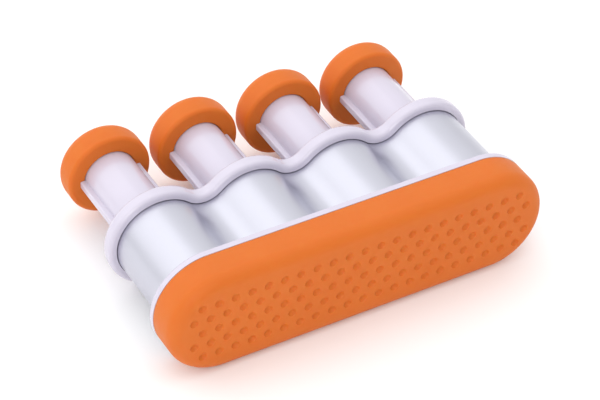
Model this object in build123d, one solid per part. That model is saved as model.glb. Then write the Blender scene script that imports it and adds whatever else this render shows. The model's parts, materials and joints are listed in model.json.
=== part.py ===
from build123d import *
import math
import os

# Finger exerciser: four sprung finger buttons in a lobed aluminium body on a palm pad.
# Each piece is built standing on its palm pad: X runs along the row of fingers and Z runs
# from the palm face up to the finger buttons. At the end the whole object is laid on its
# long side, so that in the written files the buttons slide along Y and Z is up, with the
# origin at the bottom centre of the whole object. All lengths are in millimetres.

# ---- driving dimensions -------------------------------------------------------------
FINGER_NAMES = ["index", "middle", "ring", "little"]
finger_pitch = 21.6          # from one finger's axis to the next

pad_length = 90.2            # palm pad, a stadium in plan
pad_width = 24.9
pad_height = 8.4
pad_edge_radius = 3.0
pad_wall = 3.0               # skirt around the pocket
pad_face_thickness = 3.9     # solid rubber between the palm face and the pocket
grip_pitch = 3.8             # spacing of the grip dimples, in staggered rows
grip_rows = 5
grip_longest_row = 22
dimple_radius = 0.95
dimple_depth = 0.45

plate_thickness = 1.5        # visible white flange above the pad
plate_edge_round = 0.3
plate_boss_inset = 3.1       # boss that plugs into the pad's pocket
plate_boss_wall = 2.0
plate_boss_height = 4.4
spigot_height = 1.5          # rings that centre the shell on the plate
spring_post_radius = 2.9
spring_post_height = 6.0

lobe_radius = 10.0           # outside of the aluminium shell
valley_radius = 6.0          # concave scallop between two lobes
chamber_radius = 8.5
shell_top = 31.7             # height of the shell's hidden upper end above the palm face

collar_bottom = 30.15
collar_height = 3.6
collar_overhang = 1.85
collar_top_round = 1.4
collar_bottom_round = 1.0
collar_groove_gap = 0.15     # fine dark gap around the shell under the collar's lip
collar_groove_depth = 1.6
sleeve_length = 7.0          # from the collar's top face to the sleeve's lower end
sleeve_radius = 8.3

stem_radius = 6.0
stem_bore_radius = 4.75
stem_end_thickness = 3.0     # closed end that carries the button core
rail_half_width = 7.2        # the stem's two guide rails, measured from the axis
rail_thickness = 1.8
rail_edge_round = 0.35
running_clearance = 0.08
stop_flange_radius = 7.9
stop_flange_thickness = 1.6
stop_gap = 0.05
travel = 13.0                # full stroke of a finger button

cap_underside = 53.85        # height of a finger cap's underside above the palm face
cap_height = 7.3
cap_radius = 9.8
cap_bottom_round = 0.9
cap_top_round = 3.3
cap_lip = 1.4                # rubber that folds under the button core
cap_dish_radius = 5.9
cap_dish_depth = 0.5
core_radius = 7.5
core_thickness = 3.0
core_boss_radius = 3.0
core_boss_height = 1.15
fit_gap = 0.05               # assembly gap between pieces that do not move

spring_wire_radius = 0.45
spring_mean_radius = 3.8
spring_turns = 14

screw_shank_radius = 1.2
screw_pilot_radius = 1.25
screw_clearance_radius = 1.6
screw_head_radius = 2.7
screw_head_height = 1.8
base_screw_length = 11.0
core_screw_length = 4.95
screw_seat_depth = 3.0       # counterbore for a base screw's head, from the boss's face

# ---- heights that follow from them -----------------------------------------------------
plate_bottom = pad_height
plate_top = pad_height + plate_thickness
boss_bottom = plate_bottom - plate_boss_height
collar_top = collar_bottom + collar_height
sleeve_bottom = collar_top - sleeve_length
stem_bottom = sleeve_bottom - stop_gap - stop_flange_thickness
stem_top = cap_underside + cap_lip
spring_seat = stem_top - stem_end_thickness
core_top = stem_top + core_thickness
total_height = cap_underside + cap_height
finger_places = [(number - 1.5) * finger_pitch for number in range(4)]
screw_places = [(number - 1) * finger_pitch for number in range(3)]

valley_centre = math.sqrt((lobe_radius + valley_radius) ** 2 - (finger_pitch / 2) ** 2)
lobe_angle = math.degrees(math.atan2(valley_centre, finger_pitch / 2))


# ---- shared shapes -----------------------------------------------------------------------
def stadium(inset, bottom, top):
    """The pad's plan outline, drawn in by an inset, from one height to another."""
    radius = pad_width / 2 - inset
    outline = SlotCenterToCenter(pad_length - pad_width, 2 * radius)
    return Pos(0, 0, bottom) * extrude(outline, top - bottom)


def lobed_prism(offset, bottom, top):
    """The shell's four-lobed outline, grown by an offset, from one height to another."""
    outer = lobe_radius + offset
    hollow = valley_radius - offset
    sweep_angle = 180 - 2 * lobe_angle
    left, right = finger_places[0], finger_places[-1]
    arcs = [
        CenterArc((left, 0), outer, lobe_angle, 360 - 2 * lobe_angle),
        CenterArc((right, 0), outer, lobe_angle - 180, 360 - 2 * lobe_angle),
    ]
    for x in finger_places[1:-1]:
        arcs.append(CenterArc((x, 0), outer, lobe_angle, sweep_angle))
        arcs.append(CenterArc((x, 0), outer, 180 + lobe_angle, sweep_angle))
    for x in screw_places:
        arcs.append(CenterArc((x, valley_centre), hollow, 180 + lobe_angle, sweep_angle))
        arcs.append(CenterArc((x, -valley_centre), hollow, lobe_angle, sweep_angle))
    return Pos(0, 0, bottom) * extrude(make_face(arcs), top - bottom)


def rod(x, radius, bottom, top):
    """An upright cylinder at one place along the row."""
    base = Pos(x, 0, bottom)
    return base * Cylinder(radius, top - bottom, align=(Align.CENTER, Align.CENTER, Align.MIN))


def block(x, length, width, bottom, top):
    """An upright box centred on the row."""
    base = Pos(x, 0, bottom)
    return base * Box(length, width, top - bottom, align=(Align.CENTER, Align.CENTER, Align.MIN))


def edges_at(solid, height):
    """The outer edges that lie in one horizontal plane."""
    return solid.edges().filter_by_position(Axis.Z, height - 0.001, height + 0.001)


def dimple_tool(x, y, height, outward):
    """A ball whose cap cuts one dimple; outward is -1 on the palm face, +1 on a cap."""
    ball_radius = (dimple_radius ** 2 + dimple_depth ** 2) / (2 * dimple_depth)
    return Pos(x, y, height + outward * (ball_radius - dimple_depth)) * Sphere(ball_radius)


def pan_screw(x, seat, length):
    """A screw pointing up, with its cross-drive head below the seat height."""
    head = rod(x, screw_head_radius, seat - screw_head_height, seat)
    head = fillet(edges_at(head, seat - screw_head_height), 0.6)
    shank = rod(x, screw_shank_radius, seat, seat + length)
    shank = chamfer(edges_at(shank, seat + length), 0.5)
    drive_floor = seat - screw_head_height + 0.9
    drive = block(x, 2.8, 0.7, seat - screw_head_height, drive_floor)
    drive += block(x, 0.7, 2.8, seat - screw_head_height, drive_floor)
    return head + shank - drive


# ---- pieces of the fixed body ------------------------------------------------------------
def grip_places():
    """Centres of the palm face's dimples: rows of 21 and 22, staggered by half a pitch."""
    places = []
    for row in range(grip_rows):
        count = grip_longest_row - (row + 1) % 2
        y = (row - (grip_rows - 1) / 2) * grip_pitch * math.sin(math.radians(60))
        for number in range(count):
            places.append(((number - (count - 1) / 2) * grip_pitch, y))
    return places


def palm_pad():
    pad = stadium(0, 0, pad_height)
    pad = fillet(edges_at(pad, 0), pad_edge_radius)
    pad -= stadium(pad_wall, pad_face_thickness, pad_height)
    return pad - [dimple_tool(x, y, 0, -1) for x, y in grip_places()]


def base_plate():
    plate = stadium(0, plate_bottom, plate_top)
    plate = fillet(edges_at(plate, plate_top), plate_edge_round)
    boss = stadium(plate_boss_inset, boss_bottom, plate_bottom)
    boss -= stadium(plate_boss_inset + plate_boss_wall, boss_bottom, plate_bottom)
    plate += boss
    plate += block(0, pad_length - pad_width, 1.5, boss_bottom, plate_bottom)
    for x in screw_places:
        plate += rod(x, 4.2, boss_bottom, plate_bottom)
        plate -= rod(x, 3.0, boss_bottom, boss_bottom + screw_seat_depth)
        plate -= rod(x, screw_clearance_radius, boss_bottom, plate_top)
    for x in finger_places:
        plate += rod(x, sleeve_radius, plate_top, plate_top + spigot_height)
        plate -= rod(x, sleeve_radius - 1.5, plate_top, plate_top + spigot_height)
        post = rod(x, spring_post_radius, plate_top, plate_top + spring_post_height)
        plate += chamfer(edges_at(post, plate_top + spring_post_height), 0.8)
    return plate


def body_shell():
    shell = lobed_prism(0, plate_top, shell_top)
    for x in finger_places:
        shell -= rod(x, chamber_radius, plate_top, shell_top)
    for x in screw_places:
        shell -= rod(x, screw_pilot_radius, plate_top, shell_top)
    return shell


def keyed_rod(x, clearance, bottom, top):
    """The stem's outside with its two guide rails, grown by a clearance."""
    rails = block(x, 2 * (rail_half_width + clearance), rail_thickness + 2 * clearance, bottom, top)
    return rod(x, stem_radius + clearance, bottom, top) + rails


def guide_collar():
    collar = lobed_prism(collar_overhang, collar_bottom, collar_top)
    collar = fillet(edges_at(collar, collar_top), collar_top_round)
    collar = fillet(edges_at(collar, collar_bottom), collar_bottom_round)
    collar -= lobed_prism(collar_groove_gap, collar_bottom, collar_bottom + collar_groove_depth)
    for x in finger_places:
        collar += rod(x, sleeve_radius, sleeve_bottom, collar_bottom + collar_groove_depth)
        collar -= keyed_rod(x, running_clearance, sleeve_bottom, collar_top)
    return collar


def base_screws():
    seat = boss_bottom + screw_seat_depth
    return Compound(children=[pan_screw(x, seat, base_screw_length) for x in screw_places])


def spring(x):
    """A compression spring between the base plate and the closed end of one stem."""
    free_length = spring_seat - plate_top
    height = free_length - 2 * spring_wire_radius - 2 * fit_gap
    coil = Helix(height / spring_turns, height, spring_mean_radius)
    section = Plane(origin=coil @ 0, z_dir=coil % 0) * Circle(spring_wire_radius)
    wire = sweep(section, path=coil, is_frenet=True)
    return Pos(x, 0, plate_top + spring_wire_radius + fit_gap) * wire


# ---- pieces that move with one finger ------------------------------------------------------
def plunger_stem(x):
    rail_top = cap_underside - fit_gap
    rails = block(x, 2 * rail_half_width, rail_thickness, stem_bottom, rail_top)
    rails = fillet(rails.edges().filter_by(Axis.Z), rail_edge_round)
    stem = rod(x, stem_radius, stem_bottom, stem_top) + rails
    stem += rod(x, stop_flange_radius, stem_bottom, stem_bottom + stop_flange_thickness)
    stem -= rod(x, stem_bore_radius, stem_bottom, spring_seat)
    stem -= rod(x, screw_clearance_radius, spring_seat, stem_top)
    boss_clearance = core_boss_radius + fit_gap
    return stem - rod(x, boss_clearance, stem_top - core_boss_height - fit_gap, stem_top)


def button_core(x):
    core = rod(x, core_radius, stem_top, core_top)
    core = fillet(core.edges().filter_by(GeomType.CIRCLE), 0.5)
    core += rod(x, core_boss_radius, stem_top - core_boss_height, stem_top + 1.0)
    pilot_top = spring_seat + core_screw_length + 0.2
    return core - rod(x, screw_pilot_radius, stem_top - core_boss_height, pilot_top)


def core_screw(x):
    return pan_screw(x, spring_seat, core_screw_length)


def finger_cap(x):
    cap = rod(x, cap_radius, cap_underside, total_height)
    cap = fillet(edges_at(cap, total_height), cap_top_round)
    cap = fillet(edges_at(cap, cap_underside), cap_bottom_round)
    dish_ball = (cap_dish_radius ** 2 + cap_dish_depth ** 2) / (2 * cap_dish_depth)
    dish_centre = total_height - cap_dish_depth + dish_ball
    cap -= Pos(x, 0, dish_centre) * Sphere(dish_ball)
    cap -= rod(x, stem_radius + fit_gap, cap_underside, stem_top)
    cap -= rod(x, core_radius + fit_gap, stem_top, core_top + fit_gap)
    cap -= dimple_tool(x, 0, total_height - cap_dish_depth, 1)
    ring_floor = dish_centre - math.sqrt(dish_ball ** 2 - grip_pitch ** 2)
    for number in range(6):
        angle = math.radians(60 * number)
        place = (x + grip_pitch * math.cos(angle), grip_pitch * math.sin(angle))
        cap -= dimple_tool(*place, ring_floor, 1)
    return cap


# ---- write the files -----------------------------------------------------------------------
def lay_on_side(piece):
    """Turn a piece from standing on its palm pad to lying on the pad's long side."""
    return Pos(0, -total_height / 2, pad_width / 2) * Rot(-90, 0, 0) * piece


def write(name, piece):
    export_step(lay_on_side(piece), f"parts/{name}.step")


os.makedirs("parts", exist_ok=True)

write("palm_pad", palm_pad())
write("base_plate", base_plate())
write("body_shell", body_shell())
write("guide_collar", guide_collar())
write("base_screws", base_screws())
for finger, place in zip(FINGER_NAMES, finger_places):
    write(f"{finger}_spring", spring(place))
    write(f"{finger}_plunger_stem", plunger_stem(place))
    write(f"{finger}_button_core", button_core(place))
    write(f"{finger}_core_screw", core_screw(place))
    write(f"{finger}_finger_cap", finger_cap(place))
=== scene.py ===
import json
import math

import bpy
from mathutils import Matrix, Vector
from mathutils.geometry import delaunay_2d_cdt


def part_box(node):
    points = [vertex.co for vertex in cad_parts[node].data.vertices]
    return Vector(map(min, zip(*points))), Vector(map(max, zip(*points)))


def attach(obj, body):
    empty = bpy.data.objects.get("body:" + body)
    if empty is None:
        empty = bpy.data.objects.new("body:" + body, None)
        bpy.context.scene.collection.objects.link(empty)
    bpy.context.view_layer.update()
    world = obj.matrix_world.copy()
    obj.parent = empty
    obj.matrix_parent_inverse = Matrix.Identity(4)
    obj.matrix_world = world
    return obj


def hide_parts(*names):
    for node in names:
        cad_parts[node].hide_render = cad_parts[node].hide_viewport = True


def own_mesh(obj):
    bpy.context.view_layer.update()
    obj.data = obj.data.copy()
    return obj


# A finger exerciser lying on the long side of its palm pad. Soft pieces and springs are
# built here in "bench" coordinates, in millimetres: x along the row of fingers, y across
# the thickness, and height measured from the palm face towards the finger caps.
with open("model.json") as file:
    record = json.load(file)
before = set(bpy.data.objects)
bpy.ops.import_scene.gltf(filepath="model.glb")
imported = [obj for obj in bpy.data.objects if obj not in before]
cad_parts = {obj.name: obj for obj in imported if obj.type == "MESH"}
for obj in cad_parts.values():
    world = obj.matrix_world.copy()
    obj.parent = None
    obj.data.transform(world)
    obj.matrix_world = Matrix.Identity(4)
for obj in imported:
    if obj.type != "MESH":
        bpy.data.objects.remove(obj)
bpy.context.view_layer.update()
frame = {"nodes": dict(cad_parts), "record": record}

FINGERS = ["index", "middle", "ring", "little"]
MM = 0.001

# ---- sizes, in millimetres except where they end in _y or _z ---------------------------------
pad_low, pad_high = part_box("palm_pad")
palm_y = pad_low.y
middle_z = (pad_low.z + pad_high.z) / 2
pad_length = (pad_high.x - pad_low.x) / MM
pad_width = (pad_high.z - pad_low.z) / MM
pad_height = (pad_high.y - pad_low.y) / MM
pad_edge_round = 3.0
pad_face_inset = 2.7         # the outer dimples reach just into the soft edge
pad_rim_round = 0.3          # the rim against the base plate
pad_wall = 3.0               # skirt around the pocket
pad_face_thickness = 3.9     # solid rubber between the palm face and the pocket
edge_steps = 14              # steps round a soft edge

grip_pitch = 3.8
grip_rows = 5
grip_longest_row = 22
dimple_radius = 1.00
dimple_depth = 0.62
dimple_segments = 24
dimple_steps = 7

cap_edge_round = 3.3
cap_under_round = 0.9
cap_under_steps = 8
cap_lip = 1.4                # rubber that folds under the button core
cap_dish_depth = 0.5
cap_dimples = 6              # in a ring around the middle one
cap_filler_step = 0.6
stem_radius = 6.0
neck_gap = 0.08              # air between a cap and the stem and core inside it
neck_chamfer = 0.25

wire_radius = 0.45
coil_radius = 3.8
coil_turns = 14
closed_turns = 1.5           # at each end
closed_spacing = 1.04        # of the wire's thickness, between closed turns


# ---- small helpers -------------------------------------------------------------------------
def to_row(x, y, height):
    """A bench point in millimetres as a point of the row frame in metres."""
    return Vector((x * MM, palm_y + height * MM, middle_z - y * MM))


def height_of(y_row):
    """A row-frame Y in metres as a bench height in millimetres."""
    return (y_row - palm_y) / MM


def smooth_fall(distance, reach):
    """1 at no distance, 0 at the reach, and level at both ends."""
    if distance >= reach:
        return 0.0
    return 0.5 + 0.5 * math.cos(math.pi * distance / reach)


def make_piece(name, vertices, faces, sharp_degrees=38):
    """A mesh object from bench vertices, smooth except at edges sharper than the angle."""
    mesh = bpy.data.meshes.new(name)
    mesh.from_pydata([to_row(*v) for v in vertices], [], faces)
    mesh.validate()
    mesh.shade_smooth()
    mesh.set_sharp_from_angle(angle=math.radians(sharp_degrees))
    piece = bpy.data.objects.new(name, mesh)
    bpy.context.scene.collection.objects.link(piece)
    return piece


def loft(vertices, faces, loops, close_last=False):
    """Adds loops of equal length to the vertices, with quads between them.

    The first loop is a list of vertex numbers already there, the others are new points."""
    last = loops[0]
    for loop in loops[1:]:
        ring = list(range(len(vertices), len(vertices) + len(loop)))
        vertices.extend(loop)
        count = len(ring)
        for step in range(count):
            after = (step + 1) % count
            faces.append((last[step], last[after], ring[after], ring[step]))
        last = ring
    if close_last:
        faces.append(tuple(last))
    return last


# ---- dimpled rubber faces ------------------------------------------------------------------
def dimple_rings(centre):
    """Rings of (x, y, depth) of a bowl from its rim inwards, closer together near the rim."""
    rings = []
    for step in range(dimple_steps):
        share = math.cos(math.pi / 2 * step / dimple_steps)
        depth = dimple_depth * (1 - share**2)
        ring = []
        for number in range(dimple_segments):
            angle = 2 * math.pi * number / dimple_segments
            x = centre[0] + share * dimple_radius * math.cos(angle)
            y = centre[1] + share * dimple_radius * math.sin(angle)
            ring.append((x, y, depth))
        rings.append(ring)
    return rings


def filler_points(outline_reach, inside, centres, step):
    """A staggered lattice of plan points between the dimples, to even out the triangles."""
    from_dimple = dimple_radius + 0.35 * step
    points = []
    rows = int(outline_reach[1] / step) + 1
    columns = int(outline_reach[0] / step) + 1
    for row in range(-rows, rows + 1):
        for column in range(-columns, columns + 1):
            x = (column + 0.5 * (row % 2)) * step
            y = row * step * math.sin(math.radians(60))
            free = all(math.hypot(x - a, y - b) > from_dimple for a, b in centres)
            if free and inside(x, y, 0.5 * step):
                points.append((x, y))
    return points


def grip_face(vertices, faces, outline, centres, surface, filler, flip):
    """Fills the outline with a face that has bowl-shaped dimples.

    surface gives the face's height at a plan point, filler is a list of extra plan points, and
    flip makes the face look down instead of up. Returns the outline's vertex numbers."""
    all_inside_and_edges, tolerance = 1, 1e-7
    plan = [(x, y, 0.0) for x, y in outline]
    edges = [(n, (n + 1) % len(outline)) for n in range(len(outline))]
    dimple_of = [None] * len(plan)
    bowls = []
    for centre in centres:
        rings = dimple_rings(centre)
        first = len(plan)
        plan.extend(rings[0])
        edges.extend((first + n, first + (n + 1) % dimple_segments) for n in range(dimple_segments))
        dimple_of.extend([first] * dimple_segments)
        bowls.append((first, rings[1:], centre))
    plan.extend((x, y, 0.0) for x, y in filler)
    dimple_of.extend([None] * len(filler))
    flat = [Vector((x, y)) for x, y, _ in plan]
    made = delaunay_2d_cdt(flat, edges, [], all_inside_and_edges, tolerance)
    triangles, came_from = made[2], made[3]
    original = [numbers[0] for numbers in came_from]
    start = len(vertices)
    sink = 1 if flip else -1

    def add_vertex(x, y, depth):
        vertices.append((x, y, surface(x, y) + sink * depth))
        return len(vertices) - 1

    def add_face(numbers):
        faces.append(tuple(reversed(numbers)) if flip else tuple(numbers))

    for x, y, depth in plan:
        add_vertex(x, y, depth)
    for triangle in triangles:
        corners = [original[n] for n in triangle]
        owners = {dimple_of[n] for n in corners}
        if len(owners) == 1 and owners != {None}:
            continue             # inside a dimple, which gets its own rings below
        add_face([start + n for n in corners])
    for first, rings, centre in bowls:
        last = [start + first + n for n in range(dimple_segments)]
        for ring in rings:
            new = [add_vertex(*point) for point in ring]
            for n in range(dimple_segments):
                after = (n + 1) % dimple_segments
                add_face((last[n], last[after], new[after], new[n]))
            last = new
        tip = add_vertex(centre[0], centre[1], dimple_depth)
        for n in range(dimple_segments):
            add_face((last[n], last[(n + 1) % dimple_segments], tip))
    return list(range(start, start + len(outline)))


# ---- palm pad --------------------------------------------------------------------------------
def stadium_loop(inset):
    """Plan points of the pad's outline drawn in by an inset, counter-clockwise."""
    arc_steps, side_steps = 44, 24
    radius = pad_width / 2 - inset
    reach = (pad_length - pad_width) / 2
    points = []
    for side in (1, -1):
        for step in range(arc_steps):
            angle = math.radians(-90 + 180 * step / arc_steps)
            x = reach + radius * math.cos(angle)
            points.append((side * x, side * radius * math.sin(angle)))
        for step in range(side_steps):
            points.append((side * reach * (1 - 2 * step / side_steps), side * radius))
    return points


def grip_places():
    """Centres of the palm face's dimples, in staggered rows."""
    places = []
    for row in range(grip_rows):
        count = grip_longest_row - (row + 1) % 2
        y = (row - (grip_rows - 1) / 2) * grip_pitch * math.sin(math.radians(60))
        for number in range(count):
            places.append(((number - (count - 1) / 2) * grip_pitch, y))
    return places


def build_palm_pad():
    """The pad as one closed rubber shell, with a pocket that fits over the base plate."""
    vertices, faces = [], []
    reach = (pad_length - pad_width) / 2
    face_radius = pad_width / 2 - pad_face_inset

    def from_spine(x, y):
        return math.hypot(max(0.0, abs(x) - reach), y)

    def inside(x, y, margin):
        return from_spine(x, y) < face_radius - margin

    def soft_face(x, y):
        past = max(0.0, from_spine(x, y) - (pad_width / 2 - pad_edge_round))
        return pad_edge_round - math.sqrt(pad_edge_round**2 - past**2)

    places = grip_places()
    outline = stadium_loop(pad_face_inset)
    filler = filler_points((reach + face_radius, face_radius), inside, places, grip_pitch / 2)
    rim = grip_face(vertices, faces, outline, places, soft_face, filler, True)
    profile = []
    first = math.asin(1 - pad_face_inset / pad_edge_round)
    for step in range(1, edge_steps + 1):
        angle = first + (math.pi / 2 - first) * step / edge_steps
        inset = pad_edge_round * (1 - math.sin(angle))
        profile.append((inset, pad_edge_round * (1 - math.cos(angle))))
    rim_steps = 4
    for step in range(rim_steps + 1):
        angle = math.radians(90 * step / rim_steps)
        top = pad_height - pad_rim_round * (1 - math.sin(angle))
        profile.append((pad_rim_round * (1 - math.cos(angle)), top))
    profile.append((pad_wall, pad_height))
    profile.append((pad_wall, pad_face_thickness))
    loops = [rim] + [[(x, y, h) for x, y in stadium_loop(inset)] for inset, h in profile]
    loft(vertices, faces, loops, close_last=True)
    return make_piece("palm_pad_rubber", vertices, faces)


# ---- finger caps -----------------------------------------------------------------------------
def circle_loop(radius):
    """Plan points of a circle, counter-clockwise."""
    segments = 96
    angles = [2 * math.pi * n / segments for n in range(segments)]
    return [(radius * math.cos(angle), radius * math.sin(angle)) for angle in angles]


def build_finger_cap(finger):
    """A closed rubber shell around one button core, dished and dimpled on top."""
    cap_low, cap_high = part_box(f"{finger}_finger_cap")
    core_low, core_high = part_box(f"{finger}_button_core")
    centre = (cap_low.x + cap_high.x) / 2 / MM
    radius = (cap_high.x - cap_low.x) / 2 / MM
    under, top = height_of(cap_low.y), height_of(cap_high.y)
    core_radius = (core_high.x - core_low.x) / 2 / MM + neck_gap
    core_top = height_of(core_high.y) + neck_gap
    neck = stem_radius + neck_gap
    lip_top = under + cap_lip - neck_gap
    flat_radius = radius - cap_edge_round

    def dished(x, y):
        return top - cap_dish_depth * smooth_fall(math.hypot(x, y), flat_radius)

    def inside(x, y, margin):
        return math.hypot(x, y) < flat_radius - margin

    places = [(0.0, 0.0)]
    for number in range(cap_dimples):
        angle = 2 * math.pi * number / cap_dimples
        places.append((grip_pitch * math.cos(angle), grip_pitch * math.sin(angle)))
    vertices, faces = [], []
    filler = filler_points((flat_radius, flat_radius), inside, places, cap_filler_step)
    rim = grip_face(vertices, faces, circle_loop(flat_radius), places, dished, filler, False)
    profile = []
    for step in range(1, edge_steps + 1):
        angle = math.radians(90 * step / edge_steps)
        profile.append((flat_radius + cap_edge_round * math.sin(angle),
                        top - cap_edge_round * (1 - math.cos(angle))))
    for step in range(cap_under_steps + 1):
        angle = math.radians(90 * step / cap_under_steps)
        profile.append((radius - cap_under_round * (1 - math.cos(angle)),
                        under + cap_under_round * (1 - math.sin(angle))))
    profile.append((neck + neck_chamfer, under))
    profile.append((neck, under + neck_chamfer))
    profile.append((neck, lip_top))
    profile.append((core_radius, lip_top))
    profile.append((core_radius, core_top))
    loops = [rim] + [[(x, y, h) for x, y in circle_loop(r)] for r, h in profile]
    wall = []
    loft(vertices, wall, loops, close_last=True)
    faces.extend(tuple(reversed(face)) for face in wall)
    moved = [(x + centre, y, h) for x, y, h in vertices]
    return make_piece(f"{finger}_cap_rubber", moved, faces)


# ---- springs -----------------------------------------------------------------------------------
def build_spring(finger):
    """A compression spring with closed end coils, from the base plate to the stem's end."""
    ring_count, steps_per_turn, sharp_degrees = 10, 28, 60
    centre = sum(c.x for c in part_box(f"{finger}_spring")) / 2 / MM
    low, high = (height_of(c.y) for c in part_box(f"{finger}_spring"))
    bottom, top = low + wire_radius, high - wire_radius
    closed_pitch = 2 * wire_radius * closed_spacing
    open_length = top - bottom - 2 * closed_turns * closed_pitch
    open_pitch = open_length / (coil_turns - 2 * closed_turns)
    vertices, faces = [], []
    height = bottom
    total = coil_turns * steps_per_turn
    last = None
    for step in range(total + 1):
        turn = step / steps_per_turn
        from_end = min(turn, coil_turns - turn)
        opened = min(1.0, max(0.0, from_end - closed_turns + 0.5))
        pitch = closed_pitch + (open_pitch - closed_pitch) * opened
        if step:
            height += pitch / steps_per_turn
        angle = 2 * math.pi * turn
        outward = Vector((math.cos(angle), math.sin(angle), 0))
        rise = pitch / (2 * math.pi * coil_radius)
        along = Vector((-math.sin(angle), math.cos(angle), rise)).normalized()
        up = along.cross(outward)
        middle = outward * coil_radius + Vector((centre, 0, height))
        ring = []
        for number in range(ring_count):
            around = 2 * math.pi * number / ring_count
            point = middle + wire_radius * (outward * math.cos(around) + up * math.sin(around))
            ring.append(tuple(point))
        if last is None:
            vertices.extend(ring)
            last = list(range(ring_count))
            faces.append(tuple(reversed(last)))
        else:
            last = loft(vertices, faces, [last, ring], close_last=step == total)
    stretch = (top - bottom) / (height - bottom)
    vertices = [(x, y, bottom + (h - bottom) * stretch) for x, y, h in vertices]
    return make_piece(f"{finger}_coil_spring", vertices, faces, sharp_degrees)


# ---- materials -----------------------------------------------------------------------------------
class Painter:
    """A node material with a Principled shader and a few shorthand makers."""

    def __init__(self, name):
        self.material = bpy.data.materials.new(name)
        self.material.use_nodes = True
        self.nodes = self.material.node_tree.nodes
        self.links = self.material.node_tree.links
        self.shader = self.nodes["Principled BSDF"]
        self.place = self.nodes.new("ShaderNodeTexCoord").outputs["Object"]

    def constants(self, **values):
        for label, value in values.items():
            self.shader.inputs[label.replace("_", " ")].default_value = value

    def noise(self, grain_mm, detail=2.0, stretch=(1, 1, 1)):
        """Noise whose grain has a size in millimetres, drawn out along an axis by stretch."""
        mapping = self.nodes.new("ShaderNodeMapping")
        mapping.inputs["Scale"].default_value = [1 / (grain_mm * MM * s) for s in stretch]
        noise = self.nodes.new("ShaderNodeTexNoise")
        noise.inputs["Scale"].default_value = 1.0
        noise.inputs["Detail"].default_value = detail
        self.links.new(self.place, mapping.inputs["Vector"])
        self.links.new(mapping.outputs["Vector"], noise.inputs["Vector"])
        return noise.outputs["Fac"]

    def between(self, factor, low, high):
        """A number that follows the factor from low to high."""
        node = self.nodes.new("ShaderNodeMapRange")
        node.inputs["From Min"].default_value = 0.3
        node.inputs["From Max"].default_value = 0.7
        node.inputs["To Min"].default_value = low
        node.inputs["To Max"].default_value = high
        self.links.new(factor, node.inputs["Value"])
        return node.outputs["Result"]

    def blend(self, factor, first, second):
        """A colour that follows the factor from the first to the second."""
        node = self.nodes.new("ShaderNodeMix")
        node.data_type = "RGBA"
        node.inputs["A"].default_value = (*first, 1)
        node.inputs["B"].default_value = (*second, 1)
        self.links.new(self.between(factor, 0, 1), node.inputs["Factor"])
        return node.outputs["Result"]

    def bump(self, layers):
        """Stacks bumps, each a (height, depth in millimetres) pair."""
        normal = None
        for height, depth in layers:
            node = self.nodes.new("ShaderNodeBump")
            node.inputs["Strength"].default_value = 1.0
            node.inputs["Distance"].default_value = depth * MM
            self.links.new(height, node.inputs["Height"])
            if normal is not None:
                self.links.new(normal, node.inputs["Normal"])
            normal = node.outputs["Normal"]
        self.links.new(normal, self.shader.inputs["Normal"])

    def drive(self, label, output):
        self.links.new(output, self.shader.inputs[label])


def soft_rubber():
    """Orange soft-touch rubber: matt, faintly mottled, with a fine moulded grain."""
    paint = Painter("soft_grip_rubber")
    paint.constants(IOR=1.5, Specular_IOR_Level=0.30)
    paint.constants(Subsurface_Weight=0.3, Subsurface_Scale=0.002)
    paint.constants(Subsurface_Radius=(1.0, 0.22, 0.08))
    mottle = paint.noise(9.0, 3.0)
    paint.drive("Base Color", paint.blend(mottle, (0.640, 0.144, 0.0120), (0.656, 0.151, 0.0135)))
    paint.drive("Roughness", paint.between(paint.noise(1.2), 0.50, 0.58))
    paint.bump([(paint.noise(0.35, 1.0), 0.004), (paint.noise(0.12, 1.0), 0.002)])
    return paint.material


def white_plastic():
    """Cool white moulded plastic with a smooth semi-gloss skin."""
    paint = Painter("smooth_white_plastic")
    paint.constants(IOR=1.5, Specular_IOR_Level=0.7)
    tint = paint.noise(14.0, 2.0)
    paint.drive("Base Color", paint.blend(tint, (0.597, 0.558, 0.662), (0.605, 0.566, 0.670)))
    paint.drive("Roughness", paint.between(paint.noise(6.0), 0.17, 0.19))
    return paint.material


def satin_aluminium():
    """Clear anodised extrusion: bead-blasted grain over faint lines along the extrusion."""
    paint = Painter("satin_anodised_aluminium")
    paint.constants(Metallic=1.0)
    streaks = paint.noise(0.5, 2.0, stretch=(1, 60, 1))
    paint.drive("Base Color", paint.blend(streaks, (0.570, 0.571, 0.642), (0.574, 0.575, 0.646)))
    paint.drive("Roughness", paint.between(paint.noise(0.8), 0.34, 0.38))
    paint.bump([(paint.noise(0.15, 1.0), 0.002)])
    return paint.material


def spring_steel():
    """Drawn spring wire with faint marks."""
    paint = Painter("drawn_spring_wire")
    paint.constants(Metallic=1.0)
    marks = paint.noise(0.3, 3.0, stretch=(1, 4, 1))
    paint.drive("Base Color", paint.blend(marks, (0.42, 0.42, 0.44), (0.52, 0.52, 0.54)))
    paint.drive("Roughness", paint.between(marks, 0.24, 0.36))
    return paint.material


def zinc_steel():
    """Zinc-plated screws, slightly clouded."""
    paint = Painter("zinc_plated_steel")
    paint.constants(Metallic=1.0)
    bloom = paint.noise(1.5, 3.0)
    paint.drive("Base Color", paint.blend(bloom, (0.58, 0.59, 0.60), (0.68, 0.69, 0.70)))
    paint.drive("Roughness", paint.between(bloom, 0.22, 0.38))
    paint.bump([(paint.noise(0.2, 1.0), 0.001)])
    return paint.material


def studio_paper():
    """The plain pale floor: matt paper with barely visible fibre."""
    paint = Painter("pale_studio_paper")
    fibre = paint.noise(40.0, 2.0)
    paint.drive("Base Color", paint.blend(fibre, (0.94, 0.94, 0.94), (0.95, 0.95, 0.95)))
    paint.constants(Roughness=0.9, Specular_IOR_Level=0.0)
    return paint.material


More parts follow.
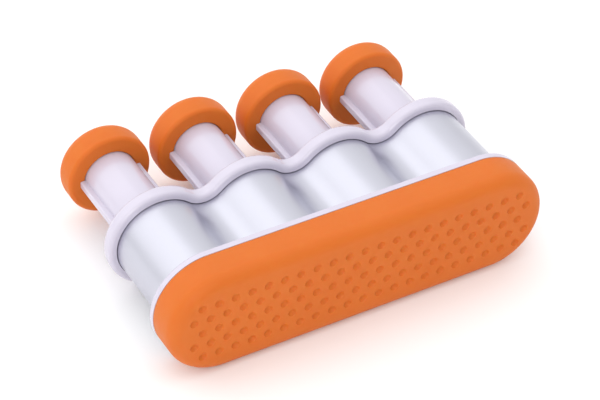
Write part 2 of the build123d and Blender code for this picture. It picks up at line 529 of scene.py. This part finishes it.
def paint_cad_nodes(materials):
    """Gives each CAD node the procedural material of its record slot."""
    slots = {row["node"]: row["material_slot"] for row in frame["record"]["subparts"]}
    for node, piece in frame["nodes"].items():
        for material_slot in piece.material_slots:
            material_slot.material = materials[slots[node]]


# ---- studio ----------------------------------------------------------------------------------------
def add_floor():
    """A floor in metres, wide enough that its edge stays near the horizon in low views."""
    size = 20.0
    mesh = bpy.data.meshes.new("studio_floor")
    corners = [(-size, -size, 0), (size, -size, 0), (size, size, 0), (-size, size, 0)]
    mesh.from_pydata(corners, [], [(0, 1, 2, 3)])
    floor = bpy.data.objects.new("studio_floor", mesh)
    bpy.context.scene.collection.objects.link(floor)
    floor.data.materials.append(studio_paper())


def add_softbox(name, direction, distance, width, height, radiance):
    """A white rectangular area light that faces the object's middle from a direction."""
    light = bpy.data.lights.new(name, "AREA")
    light.shape = "RECTANGLE"
    light.size = width
    light.size_y = height
    light.energy = radiance * math.pi * width * height
    lamp = bpy.data.objects.new(name, light)
    away = Vector(direction).normalized()
    lamp.location = Vector((0, 0, middle_z)) + away * distance
    lamp.rotation_mode = "QUATERNION"
    lamp.rotation_quaternion = (-away).to_track_quat("-Z", "Y")
    bpy.context.scene.collection.objects.link(lamp)


def add_world(front, back, horizon, zenith):
    """Soft neutral air all round: dimmer in front than behind, and brighter overhead."""
    world = bpy.data.worlds.new("studio_air")
    world.use_nodes = True
    nodes, links = world.node_tree.nodes, world.node_tree.links
    direction = nodes.new("ShaderNodeTexCoord").outputs["Generated"]
    split = nodes.new("ShaderNodeSeparateXYZ")
    links.new(direction, split.inputs["Vector"])
    behind = nodes.new("ShaderNodeMapRange")
    behind.inputs["From Min"].default_value = -0.7
    behind.inputs["From Max"].default_value = 0.3
    behind.inputs["To Min"].default_value = front
    behind.inputs["To Max"].default_value = back
    links.new(split.outputs["Y"], behind.inputs["Value"])
    overhead = nodes.new("ShaderNodeMapRange")
    overhead.inputs["To Min"].default_value = horizon
    overhead.inputs["To Max"].default_value = zenith
    links.new(split.outputs["Z"], overhead.inputs["Value"])
    level = nodes.new("ShaderNodeMath")
    level.operation = "MULTIPLY"
    links.new(behind.outputs["Result"], level.inputs[0])
    links.new(overhead.outputs["Result"], level.inputs[1])
    background = nodes["Background"]
    background.inputs["Color"].default_value = (1, 1, 1, 1)
    links.new(level.outputs["Value"], background.inputs["Strength"])
    bpy.context.scene.world = world


def add_camera():
    """A long lens, about 40 degrees above the table, turned 30 degrees to the left."""
    lens_mm, azimuth, elevation, roll = 154.2, -30.39, 40.20, 1.65
    distance = 0.5536
    aim = Vector((-0.00006, -0.00329, 0.01252))
    a, e = math.radians(azimuth), math.radians(elevation)
    back = Vector((math.sin(a) * math.cos(e), -math.cos(a) * math.cos(e), math.sin(e)))
    camera = bpy.data.cameras.new("studio_camera")
    camera.lens = lens_mm
    camera.sensor_width = 36.0
    holder = bpy.data.objects.new("studio_camera", camera)
    holder.location = aim + back * distance
    holder.rotation_mode = "QUATERNION"
    upright = (-back).to_track_quat("-Z", "Y")
    holder.rotation_quaternion = upright @ Matrix.Rotation(math.radians(roll), 3, "Z").to_quaternion()
    bpy.context.scene.collection.objects.link(holder)
    bpy.context.scene.camera = holder


def build_soft_pieces(rubber, wire):
    """The pad, caps and springs, each standing for the CAD node of the same part."""
    pad = build_palm_pad()
    pad.data.materials.append(rubber)
    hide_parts("palm_pad")
    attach(pad, "grip_body")
    for finger in FINGERS:
        cap = build_finger_cap(finger)
        cap.data.materials.append(rubber)
        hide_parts(f"{finger}_finger_cap")
        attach(cap, f"{finger}_button")

        coil = build_spring(finger)
        coil.data.materials.append(wire)
        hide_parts(f"{finger}_spring")
        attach(coil, "grip_body")
        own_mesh(coil)


materials = {
    "soft_grip": soft_rubber(),
    "white_plastic": white_plastic(),
    "satin_aluminium": satin_aluminium(),
    "spring_steel": spring_steel(),
    "zinc_steel": zinc_steel(),
}
paint_cad_nodes(materials)
build_soft_pieces(materials["soft_grip"], materials["spring_steel"])
add_floor()
add_world(front=0.74, back=1.22, horizon=0.74, zenith=1.06)
add_softbox("key_softbox", direction=(-0.45, 0.60, 0.66), distance=0.9,
            width=1.2, height=1.1, radiance=0.47)
add_softbox("overhead_softbox", direction=(0.35, -0.1, 1.0), distance=1.0,
            width=1.1, height=1.0, radiance=0.42)
add_softbox("front_fill", direction=(-0.52, -0.66, 0.54), distance=0.9,
            width=0.5, height=0.5, radiance=2.9)
add_camera()
bpy.context.scene.view_settings.view_transform = "Standard"
